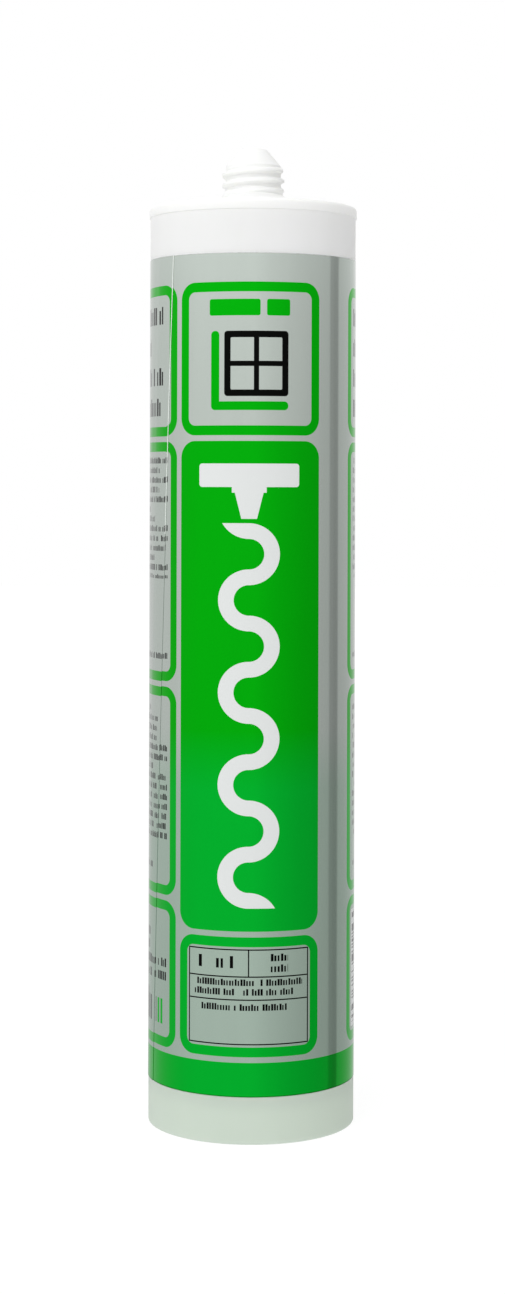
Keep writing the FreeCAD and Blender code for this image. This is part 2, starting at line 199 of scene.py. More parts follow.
class Finish:
    # one material with a Principled shader, and the nodes that feed it

    def __init__(self, name):
        self.material = bpy.data.materials.new(name)
        self.material.use_nodes = True
        self.nodes = self.material.node_tree.nodes
        self.links = self.material.node_tree.links
        self.nodes.clear()
        self.count = 0
        self.shader = self.add("ShaderNodeBsdfPrincipled")
        output = self.add("ShaderNodeOutputMaterial")
        self.links.new(self.shader.outputs["BSDF"], output.inputs["Surface"])

    def add(self, kind, settings=None, sockets=None):
        node = self.nodes.new(kind)
        node.location = (-220 * (self.count // 10), -160 * (self.count % 10))
        self.count += 1
        for name, value in (settings or {}).items():
            setattr(node, name, value)
        for name, value in (sockets or {}).items():
            self.feed(node.inputs[name], value)
        return node

    def feed(self, socket, value):
        if isinstance(value, Reading):
            self.links.new(value.socket, socket)
        else:
            socket.default_value = value

    def read(self, node, output=0):
        return Reading(self, node.outputs[output])

    def maths(self, operation, *values):
        return self.read(self.add("ShaderNodeMath", {"operation": operation}, dict(enumerate(values))))

    def blend(self, factor, first, second):
        # colour mix: first where the factor is 0, second where it is 1
        node = self.add("ShaderNodeMix", {"data_type": "RGBA"}, {0: factor, 6: first, 7: second})
        return self.read(node, 2)

    def place(self):
        # x, y and z on the piece in mm
        coordinates = self.read(self.add("ShaderNodeTexCoord"), "Object")
        parts = self.add("ShaderNodeSeparateXYZ", None, {"Vector": coordinates})
        return [self.read(parts, axis) * (1 / mm) for axis in ("X", "Y", "Z")]

    def mottle(self, scale, detail=3, stretch=(1, 1, 1)):
        # soft random patches, scale per metre
        coordinates = self.read(self.add("ShaderNodeTexCoord"), "Object")
        mapping = self.add("ShaderNodeMapping", None, {"Vector": coordinates, "Scale": stretch})
        node = self.add(
            "ShaderNodeTexNoise", None, {"Vector": self.read(mapping), "Scale": scale, "Detail": detail}
        )
        return self.read(node, "Factor" if "Factor" in node.outputs else "Fac")

    def dice(self, first, second):
        # a random value from 0 to 1 for each pair of whole numbers
        mixed = first + second * 37.31
        node = self.add("ShaderNodeTexWhiteNoise", {"noise_dimensions": "1D"}, {"W": mixed})
        return self.read(node, "Value")

    def bump(self, height, distance, strength=1.0):
        node = self.add(
            "ShaderNodeBump", None, {"Height": height, "Distance": distance, "Strength": strength}
        )
        return self.read(node)

    def set(self, **sockets):
        for name, value in sockets.items():
            self.feed(self.shader.inputs[name.replace("_", " ")], value)


# Barrel: tube, rim, shoulder, threaded neck and closed tip

barrel = {
    "outerRadius": 24.5, "wall": 1.3, "bodyLength": 217.6, "footRounding": 0.5,
    "leadInStep": 0.3, "leadInDepth": 7.5, "leadInRounding": 0.15,
    "rimOverhang": 0.25, "rimHeight": 2.65, "rimRounding": 1.0, "rimWidth": 2.2,
    "recessDepth": 1.0, "recessSlope": 0.6, "shoulderRise": 3.0, "shoulderThickness": 1.8, "neckFillet": 2.4,
    "neckHeight": 14.1, "neckRadius": 6.6, "neckBore": 4.4, "neckRow": 0.12,
    "tipRadius": 3.2, "tipRounding": 0.8, "tipCone": 4.1, "tipThickness": 1.3, "tipBore": 1.9,
    "threadDepth": 0.85, "threadPitch": 2.4, "crestWidth": 0.45, "threadWidth": 1.7,
    "threadStart": 2.3, "threadEnd": 0.8, "threadAngle": 75, "threadFade": 0.16,
}
boreRadius = barrel["outerRadius"] - barrel["wall"]
rimRadius = barrel["outerRadius"] + barrel["rimOverhang"]
rimBottom = barrel["bodyLength"] - barrel["rimHeight"]
rimInner = rimRadius - barrel["rimRounding"] - barrel["rimWidth"]
recessRadius = rimInner - barrel["recessSlope"]
recessFloor = barrel["bodyLength"] - barrel["recessDepth"]
shoulderSlope = barrel["shoulderRise"] / (recessRadius - barrel["neckRadius"] - 3.0)
tipTop = barrel["bodyLength"] + barrel["neckHeight"]
coneBottom = tipTop - barrel["tipCone"]


def shoulderHeight(radius):
    return recessFloor + shoulderSlope * (recessRadius - radius)


def undersideHeight(radius):
    return shoulderHeight(radius) - barrel["shoulderThickness"]


def barrelOutline():
    neck = barrel["neckRadius"]
    neckFoot = shoulderHeight(neck)
    top = [
        (0, tipTop),
        (barrel["tipRadius"], tipTop, barrel["tipRounding"]),
        (neck, coneBottom),
    ]
    rows = math.ceil((coneBottom - neckFoot - barrel["neckFillet"]) / barrel["neckRow"])
    bottomRow = neckFoot + barrel["neckFillet"] * 0.9
    top += [(neck, coneBottom + (bottomRow - coneBottom) * row / rows) for row in range(1, rows)]
    return roundedOutline(top + [
        (neck, neckFoot, barrel["neckFillet"]),
        (recessRadius, recessFloor, 0.3),
        (rimInner, barrel["bodyLength"], 0.25),
        (rimRadius, barrel["bodyLength"], barrel["rimRounding"]),
        (rimRadius, rimBottom, 0.15),
        (barrel["outerRadius"], rimBottom, 0.1),
        (barrel["outerRadius"], 0, barrel["footRounding"]),
        (boreRadius + barrel["leadInStep"], 0, barrel["leadInRounding"]),
        (boreRadius + barrel["leadInStep"], barrel["leadInDepth"], 0.1),
        (boreRadius, barrel["leadInDepth"], 0.1),
        (boreRadius, undersideHeight(boreRadius), 0.8),
        (barrel["neckBore"], undersideHeight(barrel["neckBore"]), 0.8),
        (barrel["neckBore"], coneBottom - barrel["tipThickness"]),
        (barrel["tipBore"], tipTop - barrel["tipThickness"], 0.4),
        (0, tipTop - barrel["tipThickness"]),
    ])


def raiseThread(piece):
    # pushes the neck's skin out along a single-start right-hand helix that fades at both ends
    start = barrel["bodyLength"] + barrel["threadStart"]
    turns = (coneBottom - barrel["threadEnd"] - start) / barrel["threadPitch"]
    flank = (barrel["threadWidth"] - barrel["crestWidth"]) / 2
    coneSlope = (barrel["neckRadius"] - barrel["tipRadius"]) / barrel["tipCone"]
    for vertex in piece.data.vertices:
        radius = math.hypot(vertex.co.x, vertex.co.y) / mm
        height = vertex.co.z / mm
        if radius < barrel["neckRadius"] - 0.5 or radius > 9.5 or height < barrel["bodyLength"] + 0.5:
            continue
        share = math.degrees(math.atan2(vertex.co.y, vertex.co.x)) - barrel["threadAngle"]
        share = share / 360 % 1
        turn = share + round((height - start) / barrel["threadPitch"] - share)
        away = abs(height - start - turn * barrel["threadPitch"])
        ridge = min(1, max(0, (barrel["threadWidth"] / 2 - away) / flank))
        ridge = ridge * ridge * (3 - 2 * ridge)
        fade = min(1, max(0, turn / barrel["threadFade"]), max(0, (turns - turn) / barrel["threadFade"]))
        fade = fade * fade * (3 - 2 * fade)
        coneLimit = barrel["neckRadius"] + (coneBottom - height) * coneSlope
        pushed = barrel["neckRadius"] + barrel["threadDepth"] * ridge * fade
        pushed = max(radius, min(pushed, max(coneLimit, barrel["neckRadius"])))
        vertex.co.x *= pushed / radius
        vertex.co.y *= pushed / radius


def makeBarrel():
    piece = drawOutline("barrelShell", barrelOutline())
    spinRound()
    raiseThread(piece)
    smoothShade(piece)
    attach(piece, "barrel")
    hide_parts("barrel")
    return piece


# Piston: cup with two lips, boss and ribs

piston = {
    "bottom": 8.0, "height": 20.0, "radius": 23.15, "waist": 22.6, "wall": 1.2, "lipHeight": 2.2,
    "lipSlope": 0.6, "edge": 0.75, "face": 1.5, "bossRadius": 6.0, "bossHeight": 6.5,
    "ribs": 8, "ribThickness": 1.2, "ribHeight": 5.0, "rounding": 0.25,
}


def makePiston():
    top = piston["bottom"] + piston["height"]
    floor = top - piston["face"]
    cup = piston["waist"] - piston["wall"]
    soft = piston["rounding"]
    lipTop = top - piston["edge"]
    bossBottom = floor - piston["bossHeight"]
    bossBore = piston["bossRadius"] - piston["wall"]
    outline = roundedOutline([
        (0, floor),
        (bossBore, floor, soft),
        (bossBore, bossBottom, soft),
        (piston["bossRadius"], bossBottom, soft),
        (piston["bossRadius"], floor, 2 * soft),
        (cup, floor, 2 * soft),
        (cup, piston["bottom"], soft),
        (piston["radius"], piston["bottom"], soft),
        (piston["radius"], piston["bottom"] + piston["lipHeight"], soft),
        (piston["waist"], piston["bottom"] + piston["lipHeight"] + piston["lipSlope"], soft),
        (piston["waist"], lipTop - piston["lipHeight"] - piston["lipSlope"], soft),
        (piston["radius"], lipTop - piston["lipHeight"], soft),
        (piston["radius"], lipTop, soft),
        (piston["radius"] - piston["edge"], top, soft),
        (0, top),
    ])
    piece = drawOutline("pistonCup", outline)
    spinRound()
    ribs = []
    inner = piston["bossRadius"] - 0.4
    outer = cup + 0.4
    for index in range(piston["ribs"]):
        deselectAll()
        bpy.ops.mesh.primitive_cube_add(size=mm, location=(0, 0, 0))
        rib = bpy.context.object
        bpy.ops.object.mode_set(mode="EDIT")
        bpy.ops.mesh.select_all(action="SELECT")
        height = piston["ribHeight"] + 0.4
        bpy.ops.transform.resize(value=(outer - inner, piston["ribThickness"], height))
        middle = ((inner + outer) / 2 * mm, 0, (floor + 0.4 - height / 2) * mm)
        bpy.ops.transform.translate(value=middle)
        bpy.ops.mesh.bevel(offset=0.2 * mm, segments=3, affect="EDGES")
        bpy.ops.object.mode_set(mode="OBJECT")
        turn = fullTurn * index / piston["ribs"]
        for vertex in rib.data.vertices:
            x, y = vertex.co.x, vertex.co.y
            vertex.co.x = x * math.cos(turn) - y * math.sin(turn)
            vertex.co.y = x * math.sin(turn) + y * math.cos(turn)
        ribs.append(rib)
    makeActive(piece)
    for rib in ribs:
        rib.select_set(True)
    bpy.ops.object.join()
    smoothShade(piece)
    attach(piece, "piston")
    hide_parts("piston")
    return piece


# Paste: the part that the piston pushes, and the part that stays in the head

paste = {"pistonGap": 0.3, "wallGap": 0.05, "headBottom": 214.16, "left": 0.0006}


def makePaste():
    radius = boreRadius - paste["wallGap"]
    bottom = piston["bottom"] + piston["height"] + paste["pistonGap"]
    bodyTop = paste["headBottom"] - 0.01
    body = drawOutline("pasteBody", roundedOutline([
        (0, bottom),
        (radius, bottom, 0.5),
        (radius, bodyTop, 0.004),
        (0, bodyTop),
    ]))
    spinRound(96)
    neck = barrel["neckBore"] - paste["wallGap"]
    head = drawOutline("pasteHead", roundedOutline([
        (0, paste["headBottom"]),
        (radius, paste["headBottom"]),
        (neck, undersideHeight(neck) - paste["wallGap"], 0.6),
        (neck, coneBottom - barrel["tipThickness"]),
        (barrel["tipBore"] - paste["wallGap"], tipTop - barrel["tipThickness"] - paste["wallGap"], 0.4),
        (0, tipTop - barrel["tipThickness"] - paste["wallGap"]),
    ]))
    spinRound(96)
    for piece in (body, head):
        smoothShade(piece)
        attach(piece, "barrel")
        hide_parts("sealant")
    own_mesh(body)
    return body, head


# Label: film wound once round the barrel, its end lapped over its start

label = {
    "bottom": 11.0, "top": 204.8, "outerRadius": 24.585, "thickness": 0.07, "lapWidth": 6.0, "lapRise": 0.08,
    "lapRamp": 1.2, "seamTop": -20.8, "seamLean": 0.047, "columns": 200, "rows": 40,
}
filmRadius = 24.58
circumference = fullTurn * filmRadius


def seamPlace(height):
    # where the film's cut end lies, as the distance round from the front line; it leans to the left
    # height is a number for the film's shape, or a value in the nodes for its print
    return label["seamTop"] + (height - label["top"]) * label["seamLean"]


def makeLabel():
    deselectAll()
    bpy.ops.mesh.primitive_grid_add(
        x_subdivisions=label["columns"], y_subdivisions=label["rows"], size=1, location=(0, 0, 0)
    )
    piece = bpy.context.object
    piece.name = "labelFilm"
    wound = circumference + label["lapWidth"]
    for vertex in piece.data.vertices:
        fromEnd = (0.5 - vertex.co.x) * wound
        height = label["bottom"] + (vertex.co.y + 0.5) * (label["top"] - label["bottom"])
        lifted = min(1, max(0, (label["lapWidth"] + label["lapRamp"] - fromEnd) / label["lapRamp"]))
        lifted = lifted * lifted * (3 - 2 * lifted)
        radius = label["outerRadius"] + label["lapRise"] * lifted
        angle = (seamPlace(height) - fromEnd) / filmRadius - math.pi / 2
        vertex.co = (radius * math.cos(angle) * mm, radius * math.sin(angle) * mm, height * mm)
    solidify = piece.modifiers.new("filmThickness", "SOLIDIFY")
    solidify.thickness = label["thickness"] * mm
    solidify.offset = -1
    makeActive(piece)
    bpy.ops.object.modifier_apply(modifier=solidify.name)
    smoothShade(piece)
    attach(piece, "barrel")
    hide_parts("label", "green_print", "white_print", "black_print")
    return piece


# Finishes of the plastic pieces and the paste

plastic = {
    "filled": (242, 243, 240), "filledLight": (249, 249, 248), "fillBottom": 10, "fillFade": 8,
    # the foot's greyer colours: partly the thin wall's own tone, partly painted shade of the empty bore
    # behind it
    "clear": (196, 210, 196), "seenThroughLight": (203, 216, 202),
    "piston": (222, 223, 220), "pistonLight": (233, 234, 231),
    "paste": (232, 232, 228), "pasteLight": (243, 243, 240),
}


def barrelPlastic():
    # natural polyethylene: whiter where paste is behind it; greyer below the piston, partly the thin wall's
    # own tone and partly painted shade of the empty bore seen through it
    finish = Finish("naturalPolyethylene")
    x, y, z = finish.place()
    clouds = finish.mottle(90, 4, (1, 1, 0.35))
    empty = 1 - (z - plastic["fillBottom"]).atLeast(0).atMost(plastic["fillFade"]) / plastic["fillFade"]
    filled = finish.blend(clouds, paint(*plastic["filled"]), paint(*plastic["filledLight"]))
    # foot colour with painted shade of the empty bore seen through the wall
    clear = finish.blend(clouds, paint(*plastic["clear"]), paint(*plastic["seenThroughLight"]))
    colour = finish.blend(empty, filled, clear)
    grain = finish.mottle(2600, 2)
    finish.set(
        Base_Color=colour, Roughness=0.38 + 0.12 * clouds, Subsurface_Weight=0.35,
        Subsurface_Scale=0.004, Subsurface_Radius=(1.0, 1.0, 0.9), IOR=1.52,
        Normal=finish.bump(grain, 0.00002, 0.35),
    )
    return finish.material


def pistonPlastic():
    finish = Finish("pistonPolyethylene")
    clouds = finish.mottle(120, 3)
    grain = finish.mottle(2200, 2)
    finish.set(
        Base_Color=finish.blend(clouds, paint(*plastic["piston"]), paint(*plastic["pistonLight"])),
        Roughness=0.38 + 0.14 * clouds, Subsurface_Weight=0.3, Subsurface_Scale=0.003,
        Subsurface_Radius=(1.0, 1.0, 0.9), IOR=1.52, Normal=finish.bump(grain, 0.00003, 0.4),
    )
    return finish.material


def pasteFinish():
    finish = Finish("whitePaste")
    clouds = finish.mottle(200, 4)
    finish.set(
        Base_Color=finish.blend(clouds, paint(*plastic["paste"]), paint(*plastic["pasteLight"])),
        Roughness=0.35 + 0.1 * clouds, IOR=1.48, Normal=finish.bump(clouds, 0.0002, 0.5),
    )
    return finish.material


# Printed film

artwork = {
    # the second silver and green are painted reflection: the tones of the lower film where it reflects the
    # floor
    "silver": (199, 208, 201), "lowReflectionSilver": (182, 202, 188), "green": (0, 187, 10), "lowReflectionGreen": (0, 196, 50),
    "white": (223, 226, 225), "black": (8, 9, 8), "lowReflectionTop": 95, "lowReflectionDepth": 14,
    "stroke": 2.25, "corner": 4.0, "innerCorner": 1.75, "panelGap": 1.3,
    "frontCentre": -0.75, "frontWidth": 34.7, "narrowGap": 1.45, "wideGap": 11.6,
    "panelsBottom": 20.2, "bandTop": 18.9,
    "frontHeights": [27.5, 112.6, 35.25], "sideHeights": [34.2, 48.6, 56.0, 35.25],
    # the lap edge width below is the width of a painted highlight along the lap edge
    "misprint": 0.45, "lapEdgeGlint": 0.22, "wordHeight": 7.5, "greenWord": 4.6,
}
frontLeft = artwork["frontCentre"] - artwork["frontWidth"] / 2
frontRight = artwork["frontCentre"] + artwork["frontWidth"] / 2
sideWidth = (circumference - artwork["frontWidth"] - artwork["narrowGap"] - 2 * artwork["wideGap"]) / 2
leftCentre = frontLeft - artwork["narrowGap"] - sideWidth / 2
rightCentre = frontRight + artwork["wideGap"] + sideWidth / 2


def stackedPanels(left, right, heights):
    panels = []
    bottom = artwork["panelsBottom"]
    for height in heights:
        panels.append((left, right, bottom, bottom + height))
        bottom += height + artwork["panelGap"]
    return panels


def inset(box, margin):
    return box[0] + margin, box[1] - margin, box[2] + margin, box[3] - margin


def block(s, z, box, corner=0.0):
    # 1 inside a rectangle (left, right, bottom, top), whose corners may be rounded
    left, right, bottom, top = box
    across = abs(s - (left + right) / 2)
    upward = abs(z - (bottom + top) / 2)
    if corner == 0.0:
        return (across < (right - left) / 2) * (upward < (top - bottom) / 2)
    pastSide = (across - ((right - left) / 2 - corner)).atLeast(0)
    pastEnd = (upward - ((top - bottom) / 2 - corner)).atLeast(0)
    return (pastSide * pastSide + pastEnd * pastEnd).root() < corner


def hollowFrame(s, z, box, stroke, corner=0.0, innerCorner=0.0):
    return block(s, z, box, corner) * (1 - block(s, z, inset(box, stroke), innerCorner))


def anyOf(masks):
    total = masks[0]
    for mask in masks[1:]:
        total = total.atLeast(mask)
    return total


def textRows(finish, s, z, box, pitch, height, spacing, seed, shortest=0.75):
    # rows of plain upright strokes in groups, with no letters in them
    left, right, bottom, top = box
    down = (top - z) / pitch
    row = down.whole()
    inRow = down.rest() * pitch
    along = (s - left) / spacing
    cell = along.whole()
    chance = finish.dice(cell, row + seed)
    rowLength = shortest + (1 - shortest) * 2.5 * finish.dice(row + seed, 7)
    stroke = along.rest().between(0.1, 0.55 + 0.35 * chance)
    tall = (inRow > height * 0.22 * (chance < 0.6)) * (inRow < height)
    return stroke * tall * (chance > 0.15) * (s < left + rowLength * (right - left)) * block(s, z, box)


window = {
    "size": 15.0, "stroke": 1.5, "bar": 1.2, "bead": 2.0, "beadGap": 1.2, "beadCorner": 0.95,
    "corner": 0.8, "innerCorner": 0.3, "headingMargin": 1.7, "headingHeight": 3.8, "headingCorner": 0.5,
    "headings": [(-9.5, 2.5), (4.0, 9.5)],
}


def windowEmblem(s, z, emblem):
    # a window with a bead along its left side and its sill, under two blocks in place of a heading
    size, bar, bead, gap = window["size"], window["bar"], window["bead"], window["beadGap"]
    left, right, bottom, top = inset(emblem, artwork["stroke"])
    headingTop = top - window["headingMargin"]
    headingBottom = headingTop - window["headingHeight"]
    whole = size + bead + gap
    windowRight = (left + right + whole) / 2
    windowTop = (bottom + headingBottom + whole) / 2
    box = (windowRight - size, windowRight, windowTop - size, windowTop)
    middleS = windowRight - size / 2
    middleZ = windowTop - size / 2
    black = anyOf([
        hollowFrame(s, z, box, window["stroke"], window["corner"], window["innerCorner"]),
        block(s, z, (middleS - bar / 2, middleS + bar / 2, box[2], box[3])),
        block(s, z, (box[0], box[1], middleZ - bar / 2, middleZ + bar / 2)),
    ])
    beadLeft = box[0] - gap - bead
    beadBottom = box[2] - gap - bead
    centre = artwork["frontCentre"]
    green = [
        block(s, z, (beadLeft, box[1], beadBottom, beadBottom + bead), window["beadCorner"]),
        block(s, z, (beadLeft, beadLeft + bead, beadBottom, box[3]), window["beadCorner"]),
    ]
    for start, end in window["headings"]:
        heading = (centre + start, centre + end, headingBottom, headingTop)
        green.append(block(s, z, heading, window["headingCorner"]))
    return black, anyOf(green)


drawing = {
    "topMargin": 5.2, "bodyWidth": 23.0, "bodyHeight": 5.4, "bodyCorner": 0.7, "collarWidth": 8.0,
    "collarHeight": 1.3, "nozzleTip": 3.6, "nozzleTop": 6.6, "nozzleHeight": 6.0,
    "beadGap": 1.0, "beadWidth": 3.6, "beadOverall": 14.2, "endMargin": 4.0,
}


def whitePicture(x, z, tall):
    # a cartridge with its nozzle down, which lays a wavy bead
    centre = artwork["frontCentre"]
    top = tall[3] - drawing["topMargin"]
    beadWidth = drawing["beadWidth"]
    across = abs(x - centre)
    bodyBottom = top - drawing["bodyHeight"]
    collarBottom = bodyBottom - drawing["collarHeight"]
    tip = collarBottom - drawing["nozzleHeight"]
    widening = (drawing["nozzleTop"] - drawing["nozzleTip"]) / 2 / drawing["nozzleHeight"]
    cone = (across < drawing["nozzleTip"] / 2 + (z - tip) * widening) * z.between(tip, collarBottom)
    halfBody = drawing["bodyWidth"] / 2
    halfCollar = drawing["collarWidth"] / 2
    shapes = [
        block(x, z, (centre - halfBody, centre + halfBody, bodyBottom, top), drawing["bodyCorner"]),
        block(x, z, (centre - halfCollar, centre + halfCollar, collarBottom, bodyBottom + 0.1)),
        cone,
    ]
    radius = (drawing["beadOverall"] - beadWidth) / 2
    beadTop = tip - drawing["beadGap"]
    firstCentre = beadTop - beadWidth / 2 - radius
    rings = 0
    while firstCentre - 2 * radius * rings - radius - beadWidth / 2 >= tall[2] + drawing["endMargin"]:
        rings += 1
    lastCentre = firstCentre - 2 * radius * (rings - 1)
    spacing = 4 * radius
    for side, start in ((1, firstCentre), (-1, firstCentre - 2 * radius)):
        # each side has a half ring at every second place
        down = (start - z) / spacing
        nearest = (down + 0.5).whole()
        fromCentre = z - (start - nearest * spacing)
        sideways = x - centre
        distance = (sideways * sideways + fromCentre * fromCentre).root()
        half = (sideways > 0) if side > 0 else (sideways < 0.0001)
        ring = (abs(distance - radius) < beadWidth / 2) * half
        shapes.append(ring * z.between(lastCentre - radius - beadWidth / 2, beadTop))
    return anyOf(shapes)


ruling = {"rule": 0.3, "margin": 0.5, "topRow": 6.2, "middleRow": 5.3}


def ruledTable(finish, s, z, panel):
    # three rows, the top one parted in two, each with its strokes; a text box is given by its margins
    rule = ruling["rule"]
    table = inset(panel, artwork["stroke"] + ruling["margin"])
    left, right, bottom, top = table
    first = top - ruling["topRow"]
    second = first - ruling["middleRow"]
    middle = artwork["frontCentre"]
    return anyOf([
        hollowFrame(s, z, table, rule),
        block(s, z, (left, right, first - rule, first)),
        block(s, z, (left, right, second - rule, second)),
        block(s, z, (middle, middle + rule, first - rule, top)),
        textRows(finish, s, z, (left + 2.6, middle - 2.6, top - 4.4, top - 1.6), 3.2, 2.8, 1.1, 3, 1),
        textRows(finish, s, z, (middle + 5.2, right - 5.2, top - 5.3, top - 1.1), 2.5, 1.7, 0.8, 5, 1),
        textRows(finish, s, z, (left + 1.6, right - 1.6, second + 0.6, first - 0.7), 2.2, 1.5, 0.66, 8, 0.8),
        textRows(finish, s, z, (left + 3.4, right - 5.4, second - 2.6, second - 1.1), 2.2, 1.5, 0.66, 11, 1),
    ])


ladder = {"margin": 1.0, "width": 15.0, "barHeight": 0.36, "quiet": 0.9, "corner": 0.6, "seed": 4}


def barcode(finish, s, z, panel):
    # pale field with a ladder of dark bars of uneven thickness
    box = inset(panel, artwork["stroke"] + ladder["margin"])
    field = (box[0], box[0] + ladder["width"], box[2], box[3])
    bars = finish.dice((z / ladder["barHeight"]).whole(), ladder["seed"]) > 0.5
    return block(s, z, field, ladder["corner"]), bars * block(s, z, inset(field, ladder["quiet"]))


def printedFilm():
    finish = Finish("printedSilverFilm")
    x, y, z = finish.place()
    s = finish.maths("ARCTAN2", x, 0 - y) * filmRadius
    seam = seamPlace(z)
    lapped = (s < seam) * (s > seam - circumference / 3)
    sideS = s + artwork["misprint"] * lapped
    sideZ = z + 0.3 * artwork["misprint"] * lapped

    stroke, corner, innerCorner = artwork["stroke"], artwork["corner"], artwork["innerCorner"]
    table, tall, emblem = stackedPanels(frontLeft, frontRight, artwork["frontHeights"])
    onRight = sideS > 0
    onLeft = 1 - onRight
    column = sideS - leftCentre - (rightCentre - leftCentre) * onRight
    side = sideWidth / 2
    address, lower, upper, high = stackedPanels(-side, side, artwork["sideHeights"])

    emblemBlack, emblemGreen = windowEmblem(s, z, emblem)
    picture = whitePicture(x, z, tall) * (y < 0)
    field, bars = barcode(finish, column, sideZ, address)
    field, bars = field * onRight, bars * onRight
    wordTall = artwork["wordHeight"]
    wordBottom = address[2] + stroke + 2.9
    wordRight = side - stroke - 0.9
    wordLeft = wordRight - artwork["greenWord"]
    darkBox = (-side + stroke + 2.0, wordLeft - 0.6, wordBottom, wordBottom + wordTall)
    greenBox = (wordLeft, wordRight, wordBottom, wordBottom + wordTall)
    dark = textRows(finish, column, sideZ, darkBox, wordTall + 1, wordTall, 1.5, 21, 1) * onLeft
    word = textRows(finish, column, sideZ, greenBox, wordTall + 1, wordTall, 1.5, 23, 1) * onLeft

    frames = [hollowFrame(s, z, panel, stroke, corner, innerCorner) for panel in (table, emblem)]
    for panel in (address, lower, upper, high):
        frames.append(hollowFrame(column, sideZ, panel, stroke, corner, innerCorner))
    greenMask = anyOf(frames + [z < artwork["bandTop"], block(s, z, tall, corner), emblemGreen, word])

    left = -side + stroke + 1.8
    right = side - stroke - 1.2
    largeBox = (left, right - 1.6, high[2] + 4.8, high[3] - 4.9)
    addressBox = (left, right, address[3] - 19.0, address[3] - 7.3)
    texts = [
        textRows(finish, column, sideZ, largeBox, 7.15, 4.1, 1.3, 40 * onRight + 31, 0.7),
        textRows(finish, column, sideZ, addressBox, 3.15, 2.0, 0.8, 97) * onLeft,
    ]
    for seed, bottom, top in (
        (53, upper[3] - 32.0, upper[3] - 3.6), (57, upper[2] + 5.2, upper[2] + 6.6),
        (71, lower[3] - 35.8, lower[3] - 4.6), (77, lower[2] + 5.7, lower[2] + 7.1),
    ):
        fineBox = (left, right, bottom, top)
        texts.append(textRows(finish, column, sideZ, fineBox, 2.28, 1.4, 0.66, 40 * onRight + seed))
    blackMask = anyOf(texts + [emblemBlack, ruledTable(finish, s, z, table), dark])
    blackMask = (blackMask * (1 - field)).atLeast(bars)
    # painted highlight: a near-white line along the film's lap edge, above z 140 only
    lapEdgeGlint = (abs(s - seam + 0.5 * artwork["lapEdgeGlint"]) < artwork["lapEdgeGlint"] / 2) * (z > 140)
    # painted shade: a thin dark line at the film's bottom edge, standing in for the edge's shadow
    bottomEdgeShade = z < label["bottom"] + 0.22

    brushed = finish.mottle(260, 4, (1, 1, 0.12))
    grain = finish.mottle(5200, 1)
    # painted reflection: below z 95, fading in over 14 mm, the film's silver and green take the tones of its
    # floor reflection
    lowReflection = ((artwork["lowReflectionTop"] - z) / artwork["lowReflectionDepth"]).atLeast(0).atMost(1)
    silver = finish.blend(lowReflection, paint(*artwork["silver"]), paint(*artwork["lowReflectionSilver"]))
    green = finish.blend(lowReflection, paint(*artwork["green"]), paint(*artwork["lowReflectionGreen"]))
    colour = finish.blend(greenMask, silver, green)
    colour = finish.blend(0.06 * brushed + 0.05 * grain, colour, (0, 0, 0, 1))
    whiteMask = picture.atLeast(field * (1 - bars))
    colour = finish.blend(whiteMask, colour, paint(*artwork["white"]))
    colour = finish.blend(blackMask, colour, paint(*artwork["black"]))
    # the lap edge's painted highlight, near white
    colour = finish.blend(lapEdgeGlint, colour, paint(244, 250, 244))
    # the painted shade line at the bottom edge, dark green at half strength
    colour = finish.blend(0.5 * bottomEdgeShade, colour, paint(0, 70, 10))
    # white ink and the lap edge's painted highlight are not metallic
    opaque = whiteMask.atLeast(lapEdgeGlint)
    finish.set(
        Base_Color=colour, Metallic=0.95 - 0.95 * opaque,
        Roughness=0.07 + 0.03 * brushed + 0.2 * opaque,
        Normal=finish.bump(brushed, 0.00001, 0.25), IOR=1.5,
    )
    print("printed film has", len(finish.nodes), "nodes")
    return finish.material


def dress(piece, material):
    piece.data.materials.clear()
    piece.data.materials.append(material)


barrelPiece = makeBarrel()
print("barrel modelled")
pistonPiece = makePiston()
print("piston modelled")
pastePieces = makePaste()
labelPiece = makeLabel()
print("paste and label modelled")

dress(barrelPiece, barrelPlastic())
dress(pistonPiece, pistonPlastic())
pasteMaterial = pasteFinish()
for piece in pastePieces:
    dress(piece, pasteMaterial)
dress(labelPiece, printedFilm())
print("finishes set")


# Studio: pale surround that the film reflects, floor, and a soft lamp on the left

studio = {
    "floorSize": 6.0, "floorColour": (0.88, 0.88, 0.88, 1), "floorGlow": 1.08, "shadowShare": 0.2,
    "worldGlow": 1.0, "aimHeight": 0.12,
    "wallDistance": 0.9, "wallBottom": -0.4, "wallTop": 1.3,
    "lowest": -0.17, "highest": 0.28, "lowGlow": 0.64,
    # glow of the surround at each direction, in degrees from the front, right side positive
    "glow": [
        (-180, 0.86), (-150, 0.84), (-110, 0.90), (-60, 1.02), (2, 1.02), (20, 0.92), (50, 0.79), (80, 0.70),
        (93.5, 0.66), (95.5, 0.45), (100.5, 0.44), (101.5, 0.40), (108.3, 0.40), (110.3, 0.69),
        (135, 0.76), (180, 0.95),
    ],
    "lamp": {"direction": -24, "rise": 42, "distance": 1.2, "size": 0.6, "power": 6.5},
}


